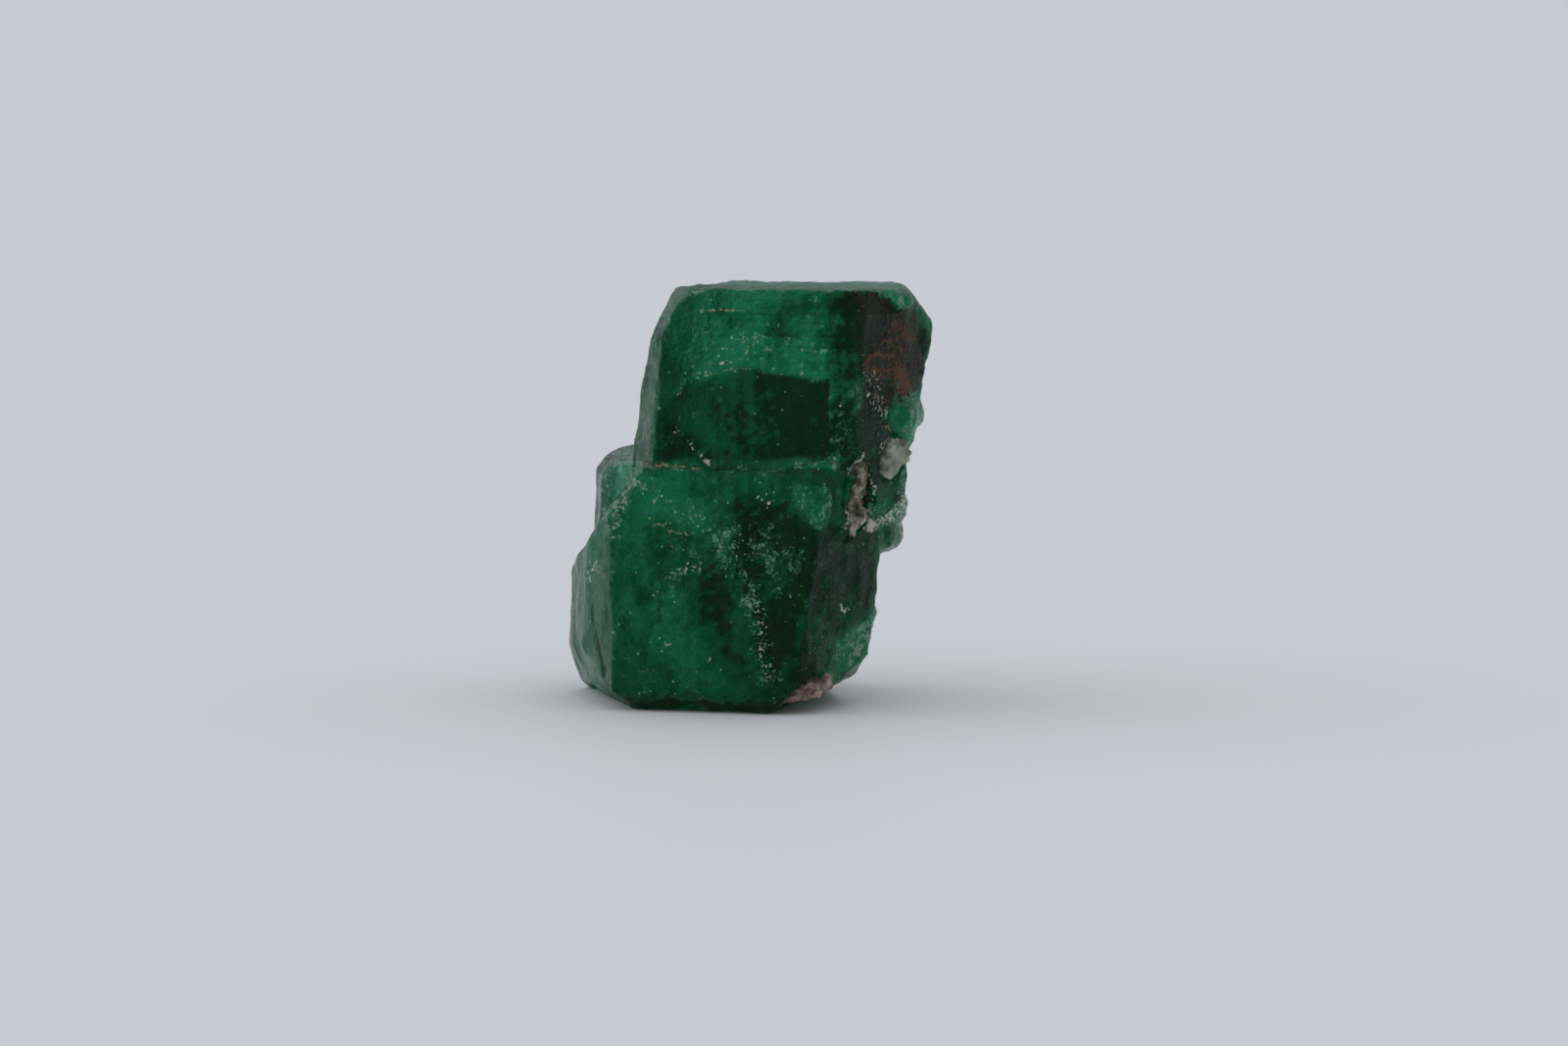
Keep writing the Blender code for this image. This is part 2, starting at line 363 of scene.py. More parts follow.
def inward(x: np.ndarray, z: np.ndarray, outline: Path) -> np.ndarray:
    """The distance in millimetres to a closed outline, above zero inside it and below zero outside.

    A place is inside when a level ray from it crosses the outline an odd number of times.

    Args:
        x: places across the front.
        z: their heights.
        outline: the outline's corners, in turn.

    Returns:
        One distance for each place.
    """
    odd = np.zeros(len(x), dtype=bool)
    for (ax, az), (bx, bz) in zip(outline, outline[1:] + outline[:1]):
        crosses = (az > z) != (bz > z)
        odd ^= crosses & (x < ax + (z - az) * (bx - ax) / ((bz - az) or TINY))
    return np.where(odd, 1.0, -1.0) * along(x, z, outline + outline[:1])


def raised(path: Path, height: float) -> Path:
    """The same path, higher up by a height in millimetres."""
    return tuple((x, z + height) for x, z in path)


@dataclass(frozen=True)
class Mark:
    """A line or a patch that shows on the front: its zone, how strong it is and how far it stands out.

    A line has soft sides of the given width. A patch is filled, with an edge of that width. The path's
    corners are places across the front and their heights, and all lengths are in millimetres.
    """

    zone: Zone
    path: Path
    width: float
    strength: float = 1.0
    lift: float = 0.0
    filled: bool = False

    def amount(self, x: np.ndarray, z: np.ndarray) -> np.ndarray:
        """How much of the mark each place has: exp(-(d / width)^2) on a line, a smooth ramp on a patch.

        Args:
            x: places across the front.
            z: their heights.

        Returns:
            One amount from 0 to 1 for each place.
        """
        if self.filled:
            return smoothstep(-self.width, self.width, inward(x, z, self.path))
        return np.exp(-((along(x, z, self.path) / self.width) ** 2))


# Paths and outlines that several marks share, or that are long.
WINDOW_RIM = (
    (-3.27, 14.45), (-2.74, 14.92), (-2.21, 15.3), (-1.41, 15.52), (-0.61, 15.68), (0.19, 15.66),
    (0.99, 15.5), (2.06, 15.38), (2.85, 15.2),
)
WINDOW = WINDOW_RIM + ((3.57, 15.2), (3.59, 11.6), (-4.23, 11.4), (-4.03, 13.6))
STEP = (
    (1.99, 10.55), (2.06, 9.41), (2.59, 9.34), (2.66, 8.87), (2.99, 8.67), (3.06, 8.2),
    (3.53, 8.4), (3.79, 9.81), (3.66, 10.48),
)
RECTANGLE = ((2.07, 11.25), (2.07, 11.72), (4.17, 11.72), (4.17, 11.25))
RUSTED = (
    (4.8, 19.3), (6.5, 19.0), (7.9, 18.0), (8.5, 16.6), (8.2, 14.6), (7.1, 13.7), (5.6, 14.1), (5.0, 16.4),
)
MINT_TIP = ((6.5, 19.0), (7.1, 18.7))
FLAP_EDGE = ((7.37, 14.3), (7.87, 13.2), (7.57, 12.3))
# The lobe's edge, where a silvery sheen is painted.
LOBE_SHEEN = ((7.45, 10.1), (7.0, 9.2), (6.2, 8.6), (5.6, 8.4))
SEAM = ((5.28, 11.75), (4.62, 11.07), (4.88, 10.4), (4.75, 9.58), (4.41, 8.64))
# An arch of painted shade on the lower front.
SHADED_ARCH = (
    (-0.83, 9.2), (-0.43, 9.85), (0.32, 9.8), (1.97, 9.3), (2.57, 8.6), (2.57, 0.6), (0.97, 0.6),
    (0.37, 4.0), (-0.53, 6.0),
)
# The right lower face, darkened as painted shade.
SHADED_FACET = (
    (2.9, 8.6), (5.97, 8.6), (5.67, 4.8), (4.6, 3.8), (3.8, 2.2), (3.0, 0.8), (2.2, 0.8), (2.5, 4.0),
)
SIDE_CRYSTAL = ((-8.4, 7.6), (-8.4, 12.8), (-5.7, 12.8), (-5.9, 10.6), (-6.5, 8.6))
CORNER = ((4.07, 3.2), (5.67, 4.1), (5.67, 2.3), (3.97, 1.6))

MARKS = (
    # The clear window under a wavy rim, darkened as painted shade, more towards the right and less to the
    # left.
    Mark(Zone.TINT, WINDOW, 0.09, -0.22, -0.08, True),
    Mark(Zone.CALM, WINDOW, 0.3, 0.4, 0.0, True),
    Mark(Zone.TINT, ((-2.9, 13.9), (-1.9, 12.8)), 1.0, 0.13),
    Mark(Zone.TINT, ((2.47, 14.4), (2.57, 12.2)), 1.3, -0.12),
    Mark(Zone.TAN, WINDOW_RIM, 0.07, 0.5, 0.03),
    Mark(Zone.FROST, raised(WINDOW_RIM, 0.25), 0.25, 0.18),
    Mark(Zone.TINT, raised(WINDOW_RIM, 0.2), 0.3, 0.1),
    Mark(Zone.FROST, ((0.07, 16.0), (3.67, 15.75)), 0.35, 0.15),
    Mark(Zone.STAIN, ((-1.01, 13.56), (-0.88, 13.45)), 0.14, 0.7),
    Mark(Zone.FROST, ((-3.28, 14.0), (-3.23, 13.9)), 0.3, 0.4),
    Mark(Zone.CHALK, ((-3.28, 13.02), (-3.55, 12.22)), 0.05, 0.6, -0.02),
    Mark(Zone.CHALK, ((-3.28, 12.82), (-2.55, 11.95), (-1.81, 11.42)), 0.05, 0.7, -0.02),
    # The painted glow of the upper left, with a glassy break, and growth lines across the top.
    Mark(Zone.TINT, ((-2.93, 17.8), (-1.83, 16.2)), 1.1, 0.74),
    Mark(Zone.TINT, ((-1.03, 16.2), (-0.53, 16.9)), 0.55, 0.5, 0.05),
    Mark(Zone.TINT, ((-3.6, 18.9), (1.27, 18.9)), 0.5, 0.4),
    Mark(Zone.TINT, ((-3.6, 15.2), (-2.4, 16.0)), 0.5, -0.12),
    Mark(Zone.TAN, ((-0.53, 17.5), (-0.03, 16.5)), 0.5, 0.3),
    Mark(Zone.FROST, ((-1.4, 17.2), (0.4, 16.6)), 0.7, 0.22),
    Mark(Zone.CHALK, ((-1.34, 16.5), (-1.31, 15.85), (-0.93, 16.1)), 0.06, 0.7, 0.04),
    Mark(Zone.CHALK, ((-1.23, 15.9), (-0.65, 15.9)), 0.06, 0.6, 0.03),
    Mark(Zone.TAN, ((-2.2, 18.27), (-1.13, 18.34), (0.06, 18.35)), 0.07, 0.6, 0.03),
    Mark(Zone.FROST, ((-0.21, 18.21), (1.27, 18.1), (3.39, 18.03)), 0.08, 0.5, -0.04),
    Mark(Zone.FROST, ((0.06, 17.77), (2.27, 17.72), (4.72, 17.63)), 0.08, 0.45, -0.04),
    Mark(Zone.FROST, ((0.27, 17.2), (2.27, 17.15), (4.47, 17.1)), 0.12, 0.2, -0.04),
    Mark(Zone.FROST, ((0.72, 16.53), (2.17, 16.55), (3.79, 16.53)), 0.08, 0.6, -0.04),
    Mark(Zone.FROST, ((0.17, 16.9), (3.97, 16.85)), 0.1, 0.25, -0.03),
    Mark(Zone.TINT, ((0.9, 18.5), (4.4, 18.4)), 0.4, -0.16),
    Mark(Zone.TINT, ((1.4, 17.4), (4.6, 17.35)), 0.5, -0.22, -0.03),
    Mark(Zone.CHALK, ((2.77, 18.9), (3.37, 18.72)), 0.13, 0.35, 0.03),
    Mark(Zone.FROST, ((-4.18, 18.6), (-3.98, 17.2), (-4.13, 15.2)), 0.22, 0.4),
    Mark(Zone.TAN, ((-4.28, 18.4), (-4.23, 17.6)), 0.12, 0.45),
    # The rough band along the right edge of the upper front.
    Mark(Zone.FROST, ((3.67, 15.4), (5.17, 15.4), (5.02, 11.7), (3.47, 11.7)), 0.15, 0.34, 0.04, True),
    Mark(Zone.TINT, ((3.67, 19.0), (5.17, 19.0), (5.02, 11.7), (3.47, 11.7)), 0.2, -0.17, 0.0, True),
    Mark(Zone.MATT, ((3.67, 18.0), (5.27, 18.0), (5.02, 11.7), (3.47, 11.7)), 0.2, 0.4, 0.0, True),
    Mark(Zone.TINT, ((3.55, 15.1), (3.5, 11.8)), 0.1, -0.2, -0.06),
    Mark(Zone.CHALK, ((4.19, 14.2), (4.22, 13.8)), 0.07, 0.8, 0.04),
    Mark(Zone.TINT, ((5.52, 17.7), (5.42, 14.0), (5.37, 12.0)), 0.25, -0.35, -0.05),
    # Brown and rust on the upper right, with a speckled patch below.
    Mark(Zone.STAIN, RUSTED, 0.7, 0.74, 0.0, True),
    Mark(Zone.TINT, RUSTED, 0.6, -0.32, 0.0, True),
    Mark(Zone.FROST, RUSTED, 0.6, 0.04, 0.0, True),
    Mark(Zone.RUST, RUSTED, 0.7, 0.25, 0.0, True),
    Mark(Zone.STAIN, ((3.9, 18.9), (6.37, 18.7)), 0.4, 0.42),
    Mark(Zone.RUST, ((5.3, 15.92), (5.6, 16.2), (5.97, 16.28), (6.62, 16.19)), 0.1, 0.75, 0.03),
    Mark(Zone.RUST, ((5.37, 15.7), (5.97, 15.4)), 0.3, 0.42),
    Mark(Zone.RUST, ((6.4, 16.9), (6.9, 16.5)), 0.3, 0.35),
    Mark(Zone.RUST, ((6.72, 15.6), (7.22, 14.6)), 0.4, 0.5),
    Mark(Zone.RUST, ((6.77, 17.6), (7.47, 16.9)), 0.35, 0.35),
    Mark(Zone.CHALK, ((5.52, 15.2), (5.82, 14.2), (6.17, 13.5)), 0.55, 0.36, 0.0),
    Mark(Zone.STAIN, ((5.45, 14.6), (6.0, 13.7)), 0.5, 0.4),
    # Painted glow: the mint tip is made pale, as if lit through, and kept clear of the stain.
    Mark(Zone.TINT, MINT_TIP, 0.4, 0.8),
    Mark(Zone.STAIN, MINT_TIP, 0.4, -0.8),
    Mark(Zone.FROST, ((7.57, 17.6), (8.02, 16.2), (7.77, 15.0)), 0.3, 0.35),
    Mark(Zone.TAN, ((4.6, 18.1), (6.47, 18.05), (7.97, 17.95)), 0.08, 0.42, 0.08),
    Mark(Zone.TINT, ((5.67, 13.3), (6.27, 12.4)), 0.6, -0.4),
    Mark(Zone.TAN, ((6.27, 12.95), (6.57, 12.6)), 0.14, 0.55),
    Mark(Zone.TAN, ((6.87, 12.3), (7.17, 12.8)), 0.14, 0.45),
    Mark(Zone.FROST, FLAP_EDGE, 0.3, 0.3),
    Mark(Zone.TINT, FLAP_EDGE, 0.4, 0.4),
    Mark(Zone.CHALK, ((6.17, 12.0), (6.77, 11.6), (7.07, 12.1)), 0.35, 0.6),
    # The ledge, its tan line and its pale rectangle.
    Mark(Zone.TAN, ((-5.13, 11.15), (-3.93, 11.2), (-2.23, 11.17)), 0.09, 0.55, 0.02),
    Mark(Zone.CHALK, ((-2.13, 11.5), (-1.83, 11.3)), 0.1, 0.6),
    Mark(Zone.TAN, ((-1.93, 11.22), (0.27, 11.2), (2.07, 11.2)), 0.06, 0.35),
    Mark(Zone.FROST, RECTANGLE, 0.05, 0.4, 0.03, True),
    Mark(Zone.TINT, RECTANGLE, 0.05, 0.4, 0.0, True),
    # The step on the lower front's right: a paler patch like an L, over an arch darkened as painted shade.
    Mark(Zone.FROST, STEP, 0.06, 0.45, 0.06, True),
    Mark(Zone.TINT, STEP, 0.06, 0.2, 0.0, True),
    Mark(Zone.TINT, SHADED_ARCH, 0.5, -0.32, 0.0, True),
    Mark(Zone.CHALK, ((0.37, 9.95), (0.82, 9.6), (1.17, 9.8)), 0.07, 0.6),
    Mark(Zone.CHALK, ((0.77, 10.1), (0.97, 9.6), (0.77, 9.3)), 0.06, 0.55),
    # Painted glow: a bright spot below the ledge on the left.
    Mark(Zone.TINT, ((-5.05, 10.25), (-4.7, 9.6)), 0.6, 0.95),
    Mark(Zone.CHALK, ((-4.82, 10.1), (-4.78, 9.95)), 0.14, 0.35),
    # Etched clouds, ochre spots and the whitish streak down the lower front.
    Mark(Zone.FROST, ((-1.6, 9.2), (-1.0, 8.2), (0.8, 8.0)), 0.9, 0.45, -0.03),
    Mark(Zone.FROST, ((-1.5, 7.2), (0.67, 6.8), (2.0, 6.3)), 0.9, 0.45, -0.03),
    Mark(Zone.FROST, ((1.6, 8.2), (2.2, 7.2)), 0.6, 0.34),
    Mark(Zone.CHALK, ((-1.4, 7.5), (-0.3, 7.1), (1.4, 6.9)), 0.7, 0.2),
    Mark(Zone.CHALK, ((-1.1, 8.7), (-0.4, 8.0)), 0.5, 0.2),
    Mark(Zone.FROST, ((-3.63, 6.1), (-2.93, 6.5), (-2.43, 6.9)), 0.55, 0.6, -0.03),
    Mark(Zone.CHALK, ((-3.4, 6.3), (-2.43, 6.75)), 0.3, 0.4),
    Mark(Zone.TAN, ((-4.5, 8.72), (-4.0, 8.5)), 0.22, 0.45),
    Mark(Zone.TAN, ((-3.6, 8.3), (-2.8, 8.1)), 0.24, 0.45),
    Mark(Zone.TAN, ((-3.6, 7.7), (-3.3, 7.5)), 0.18, 0.4),
    Mark(Zone.FROST, ((-3.93, 9.3), (-2.83, 8.5)), 0.6, 0.26),
    Mark(Zone.FROST, ((-0.03, 6.1), (0.22, 4.7), (0.62, 3.7), (0.62, 2.7), (0.97, 1.75)), 0.6, 0.6, -0.05),
    Mark(Zone.CHALK, ((0.3, 5.2), (0.62, 4.1), (0.52, 2.9), (0.87, 1.75)), 0.4, 0.37, 0.03),
    Mark(Zone.CHALK, ((-1.02, 6.32), (-1.02, 4.03)), 0.04, 0.5, -0.03),
    Mark(Zone.FROST, ((-3.89, 5.78), (-3.89, 4.43)), 0.08, 0.4, -0.02),
    # Painted light: the lower left is made paler, as if lit through from the back left.
    Mark(Zone.TINT, ((-5.73, 9.0), (-5.63, 1.2)), 1.0, 0.32),
    Mark(Zone.TINT, ((-4.13, 3.2), (-1.73, 1.4)), 1.1, 0.2),
    Mark(Zone.TINT, ((-5.23, 6.2), (-4.83, 5.2)), 0.45, -0.25, -0.03),
    Mark(Zone.TINT, ((-5.53, 4.1), (-4.83, 2.8)), 0.4, -0.25, -0.03),
    Mark(Zone.TINT, ((-3.83, 7.6), (-1.93, 4.6)), 0.6, -0.12),
    Mark(Zone.TINT, ((-1.6, 5.9), (-1.0, 2.2)), 1.1, -0.22),
    Mark(Zone.CHALK, ((-3.83, 3.1), (-3.63, 3.05)), 0.12, 0.6),
    Mark(Zone.CHALK, ((-1.83, 2.4), (-1.63, 2.7)), 0.07, 0.5),
    # Painted shade: a darker tint along the bottom edge, where the crystal meets the floor.
    Mark(Zone.TINT, ((-6.2, 0.5), (-4.0, 0.3), (2.3, 0.3), (5.4, 1.0)), 0.5, -0.4),
    # The seam of host rock with painted shade in its hollow, the lobe's painted silvery sheen, and the right
    # side's painted grey sheen and painted shade.
    Mark(Zone.CHALK, SEAM, 0.2, 0.7, 0.04),
    Mark(Zone.TAN, ((5.37, 11.3), (4.82, 10.8), (4.97, 10.1)), 0.25, 0.4),
    Mark(Zone.CHALK, ((5.42, 10.94), (5.79, 10.12), (5.42, 8.91), (5.56, 8.23)), 0.14, 0.6, 0.04),
    Mark(Zone.RUST, ((5.27, 10.4), (5.32, 9.6)), 0.22, 0.6, -0.06),
    # Painted shade in the hollow beside the seam.
    Mark(Zone.TINT, ((5.07, 10.4), (5.07, 9.2)), 0.3, -0.4),
    # Painted sheen: frost and chalk lay a silvery highlight along the lobe's edge, and its tip is made paler.
    Mark(Zone.FROST, LOBE_SHEEN, 0.4, 0.6),
    Mark(Zone.CHALK, LOBE_SHEEN, 0.34, 0.62),
    Mark(Zone.TINT, ((6.97, 8.9), (7.37, 8.2)), 0.35, 0.5),
    Mark(Zone.TINT, ((6.3, 10.8), (6.6, 9.8)), 0.8, -0.25),
    Mark(Zone.MATT, ((3.37, 8.0), (5.97, 8.6), (5.67, 1.0), (2.87, 0.8)), 0.4, 0.3, 0.0, True),
    # Painted grey sheen on the right lower face, and painted shade darkening it.
    Mark(Zone.FROST, ((3.17, 8.0), (5.67, 7.6), (5.57, 4.6), (2.97, 4.2)), 0.5, 0.14, 0.0, True),
    Mark(Zone.TINT, SHADED_FACET, 0.18, -0.26, 0.0, True),
    Mark(Zone.CHALK, ((4.27, 4.85), (4.37, 4.6), (4.57, 4.62)), 0.12, 0.7, -0.08),
    Mark(Zone.TINT, CORNER, 0.4, 0.6, 0.0, True),
    Mark(Zone.FROST, CORNER, 0.35, 0.75, -0.05, True),
    Mark(Zone.TAN, ((5.27, 3.6), (5.47, 3.3)), 0.18, 0.5),
    Mark(Zone.TAN, ((4.67, 3.1), (4.87, 3.0)), 0.15, 0.4),
    # The left side: crumbly shoulder, whitish blobs and dark lines, with painted glow at the foot, on the
    # side crystal and below the ledge.
    Mark(Zone.FROST, ((-6.43, 8.0), (-5.83, 9.5), (-5.33, 10.8)), 0.55, 0.42, -0.05),
    Mark(Zone.CHALK, ((-6.33, 8.2), (-5.63, 9.9)), 0.4, 0.25),
    Mark(Zone.TAN, ((-6.13, 8.7), (-5.53, 10.4)), 0.35, 0.25),
    Mark(Zone.CHALK, ((-7.43, 5.8), (-7.03, 6.6)), 0.45, 0.36),
    Mark(Zone.TAN, ((-7.43, 5.6), (-7.23, 5.9)), 0.25, 0.3),
    Mark(Zone.TINT, ((-7.23, 4.7), (-7.13, 3.5), (-6.73, 2.0), (-6.63, 1.3)), 0.09, -0.5, -0.06),
    Mark(Zone.STAIN, ((-7.13, 3.4), (-6.88, 2.6)), 0.08, 0.5),
    # Painted glow at the foot.
    Mark(Zone.TINT, ((-8.03, 2.6), (-7.63, 1.6)), 0.5, 0.4),
    # Painted glow on the side crystal's lower part.
    Mark(Zone.TINT, ((-7.03, 9.3), (-6.13, 8.4)), 0.7, 0.3),
    Mark(Zone.FROST, ((-5.2, 10.3), (-4.5, 9.6)), 0.5, 0.4),
    # Painted glow: the side crystal is made pale mint, as if lit through.
    Mark(Zone.FROST, SIDE_CRYSTAL, 0.3, 0.3, 0.0, True),
    Mark(Zone.TINT, SIDE_CRYSTAL, 0.3, 0.9, 0.0, True),
    # Painted glow below the ledge.
    Mark(Zone.TINT, ((-5.6, 10.2), (-3.5, 9.7), (-2.4, 9.0)), 0.7, 0.35),
    Mark(Zone.STAIN, ((-6.58, 11.2), (-6.53, 11.1)), 0.14, 0.6),
    Mark(Zone.FROST, ((-4.93, 13.8), (-5.13, 12.2)), 0.4, 0.2),
)


@dataclass(frozen=True)
class Coat:
    """What lies on the crystal's skin in one zone, broken up into specks by an etching."""

    zone: Zone
    colour: str
    etching: Etching
    # How far the etching's noise adds to the zone and takes from it.
    spread: float
    # How much of the clear crystal a full coat hides.
    hides: float = 1.0
    # Widens the specks' edges, so that they run together in a haze.
    mist: float = 0.0


@dataclass(frozen=True)
class EtchedBeryl:
    """Emerald, a clear green beryl, grown and then etched by the ground.

    The eye gets a deep green that darkens with thickness, a waxy skin of fine pits that catches the
    light as grey haze, a little dust in the pits, pale frosted clouds where etching went deeper, and
    rust and chalk in the hollows. The sheen tints the skin's reflections green, so that they lay no
    grey veil over the dark faces. Lengths are in millimetres.
    """

    # Greens from the deepest tint to the palest, at even steps.
    depths: tuple[str, ...] = ("#010603", "#051c11", "#3f8f6a", "#a8ecca", "#f0fff8")
    # What each millimetre of beryl takes from red, green and blue light.
    absorbed: tuple[float, float, float] = (0.32, 0.1, 0.15)
    refraction: float = 1.58
    sheen: str = "#67967f"
    # Roughness of the bare skin, and what matt places and full coats add to it.
    gloss: float = 0.14
    matt: float = 0.4
    coated: float = 0.35
    # Cell size, detail and roughness of each size of etching.
    etchings: tuple[tuple[Etching, float, float, float], ...] = (
        (Etching.FINE, 0.154, 4.0, 0.7),
        (Etching.MIDDLE, 0.385, 5.0, 0.7),
        (Etching.BROAD, 1.25, 6.0, 0.65),
    )
    # How far the broad and middle etching make the tint uneven.
    broad_swing: float = 0.8
    middle_swing: float = 0.7
    # Lower and upper amounts between which a coat's specks show.
    speck_edge: tuple[float, float] = (0.5, 0.68)
    coats: tuple[Coat, ...] = (
        Coat(Zone.FROST, "#7d9f8e", Etching.MIXED, 3.4, 0.8, 0.25),
        Coat(Zone.STAIN, "#1f1812", Etching.MIDDLE, 2.6, 0.9),
        Coat(Zone.RUST, "#63371b", Etching.FINE, 2.8),
        Coat(Zone.TAN, "#a89468", Etching.FINE, 2.6),
        Coat(Zone.CHALK, "#c9c8b8", Etching.FINE, 2.8),
    )
    # Dust lies in round spots: their spacing, their soft edge as a share of it, and how much they hide.
    dust: str = "#9fb3a6"
    dust_spacing: float = 0.667
    dust_edge: tuple[float, float] = (0.11, 0.05)
    dust_hides: float = 0.6
    # The finest pits of the skin, drawn coarser than real ones, so that they show.
    pit_spacing: float = 0.294
    pit_share: float = 0.5
    pit_depth: float = 0.07
    pit_strength: float = 0.8

    def sources(self, tree: Tree, place: Socket) -> dict:
        """Adds what the finish reads: the amount of each zone and the noise of each etching.

        Args:
            tree: the material's nodes.
            place: the socket with the place on the piece.

        Returns:
            Each zone and each etching, with its socket.
        """
        found = {zone: add(tree, "Attribute", attribute_name=zone.value).outputs["Fac"] for zone in Zone}
        for size, cell, detail, rough in self.etchings:
            look = {"Vector": place, "Scale": cells(cell), "Detail": detail, "Roughness": rough}
            found[size] = add(tree, "TexNoise", look).outputs[0]
        halves = {0: 0.5, 2: found[Etching.MIDDLE], 3: found[Etching.FINE]}
        found[Etching.MIXED] = add(tree, "Mix", halves).outputs[0]
        return found

    def green(self, tree: Tree, sources: dict) -> Socket:
        """The green of the skin: the tint, made uneven by etching except where it is calm.

        Args:
            tree: the material's nodes.
            sources: each zone and each etching, with its socket.

        Returns:
            The socket with the colour.
        """
        parts = []
        for size, swing in ((Etching.BROAD, self.broad_swing), (Etching.MIDDLE, self.middle_swing)):
            spread = {0: sources[size], 1: swing, 2: -0.5 * swing}
            parts.append(add(tree, "Math", spread, operation="MULTIPLY_ADD").outputs[0])
        uneven = add(tree, "Math", {0: parts[0], 1: parts[1]}, operation="ADD").outputs[0]
        kept = add(tree, "Math", {0: 1.0, 1: sources[Zone.CALM]}, operation="SUBTRACT").outputs[0]
        uneven = add(tree, "Math", {0: uneven, 1: kept}, operation="MULTIPLY").outputs[0]
        depth = {0: sources[Zone.TINT], 1: uneven}
        depth = add(tree, "Math", depth, operation="ADD", use_clamp=True).outputs[0]
        ramp = add(tree, "ValToRGB", {"Fac": depth})
        stops = ramp.color_ramp.elements
        stops[0].color = srgb(self.depths[0])
        stops[1].color = srgb(self.depths[-1])
        for position, code in zip(np.linspace(0.0, 1.0, len(self.depths))[1:-1], self.depths[1:-1]):
            stops.new(float(position)).color = srgb(code)
        return ramp.outputs["Color"]

    def specks(self, tree: Tree, coat: Coat, sources: dict) -> Socket:
        """Where a coat lies: a ramp on its zone's amount plus a noise that is spread about zero.

        Args:
            tree: the material's nodes.
            coat: the coat.
            sources: each zone and each etching, with its socket.

        Returns:
            The socket with the amount from 0 to 1.
        """
        spread = {0: sources[coat.etching], 1: coat.spread, 2: -0.5 * coat.spread}
        uneven = add(tree, "Math", spread, operation="MULTIPLY_ADD").outputs[0]
        total = add(tree, "Math", {0: sources[coat.zone], 1: uneven}, operation="ADD").outputs[0]
        low, high = self.speck_edge
        ramp = {"Value": total, "From Min": low - 0.5 * coat.mist, "From Max": high + coat.mist}
        return add(tree, "MapRange", ramp, interpolation_type="SMOOTHSTEP").outputs[0]

    def skin(self, tree: Tree, place: Socket, sources: dict) -> tuple:
        """Lays dust and then each coat over the green. Dust lies about the points of a random scatter.

        Args:
            tree: the material's nodes.
            place: the socket with the place on the piece.
            sources: each zone and each etching, with its socket.

        Returns:
            The socket with the colour, and the one with how much of the clear crystal is hidden.
        """
        scatter = {"Vector": place, "Scale": cells(self.dust_spacing), "Randomness": 1.0}
        away = add(tree, "TexVoronoi", scatter).outputs["Distance"]
        outer, inner = self.dust_edge
        spots = {"Value": away, "From Min": outer, "From Max": inner, "To Max": self.dust_hides}
        cover = add(tree, "MapRange", spots, interpolation_type="SMOOTHSTEP").outputs[0]
        colour = {0: cover, 6: self.green(tree, sources), 7: srgb(self.dust)}
        colour = add(tree, "Mix", colour, data_type="RGBA").outputs[2]
        for coat in self.coats:
            mask = self.specks(tree, coat, sources)
            colour = add(tree, "Mix", {0: mask, 6: colour, 7: srgb(coat.colour)}, data_type="RGBA").outputs[2]
            hidden = add(tree, "Math", {0: mask, 1: coat.hides}, operation="MULTIPLY").outputs[0]
            cover = add(tree, "Math", {0: cover, 1: hidden}, operation="MAXIMUM").outputs[0]
        return colour, cover

    def pits(self, tree: Tree, place: Socket, sources: dict) -> Socket:
        """The bump of the finest pits: fine etching, a scatter of pits and middle etching.

        Args:
            tree: the material's nodes.
            place: the socket with the place on the piece.
            sources: each zone and each etching, with its socket.

        Returns:
            The socket with the normal.
        """
        scatter = {"Vector": place, "Scale": cells(self.pit_spacing), "Randomness": 1.0}
        pits = add(tree, "TexVoronoi", scatter).outputs["Distance"]
        height = {0: pits, 1: self.pit_share, 2: sources[Etching.FINE]}
        height = add(tree, "Math", height, operation="MULTIPLY_ADD").outputs[0]
        height = add(tree, "Math", {0: height, 1: sources[Etching.MIDDLE]}, operation="ADD").outputs[0]
        bump = {"Height": height, "Distance": self.pit_depth * MM, "Strength": self.pit_strength}
        return add(tree, "Bump", bump).outputs["Normal"]

    def material(self) -> bpy.types.Material:
        """Builds the finish, with a roughness of gloss + matt * matt zone + coated * cover.

        Returns:
            The material.
        """
        made = bpy.data.materials.new("etched beryl")
        made.use_nodes = True
        tree = made.node_tree
        shader = tree.nodes["Principled BSDF"]
        place = add(tree, "TexCoord").outputs["Object"]
        sources = self.sources(tree, place)
        colour, cover = self.skin(tree, place, sources)
        clear = add(tree, "Math", {0: 1.0, 1: cover}, operation="SUBTRACT", use_clamp=True).outputs[0]
        bare = {0: sources[Zone.MATT], 1: self.matt, 2: self.gloss}
        bare = add(tree, "Math", bare, operation="MULTIPLY_ADD").outputs[0]
        rough = {0: cover, 1: self.coated, 2: bare}
        rough = add(tree, "Math", rough, operation="MULTIPLY_ADD", use_clamp=True).outputs[0]
        tree.links.new(colour, shader.inputs["Base Color"])
        tree.links.new(clear, shader.inputs["Transmission Weight"])
        tree.links.new(rough, shader.inputs["Roughness"])
        tree.links.new(self.pits(tree, place, sources), shader.inputs["Normal"])
        shader.inputs["IOR"].default_value = self.refraction
        shader.inputs["Specular Tint"].default_value = srgb(self.sheen)
        most = max(self.absorbed)
        body = add(tree, "VolumeAbsorption", {"Density": most / MM})
        body.inputs["Color"].default_value = (*(1.0 - a / most for a in self.absorbed), 1.0)
        tree.links.new(body.outputs[0], tree.nodes["Material Output"].inputs["Volume"])
        return made


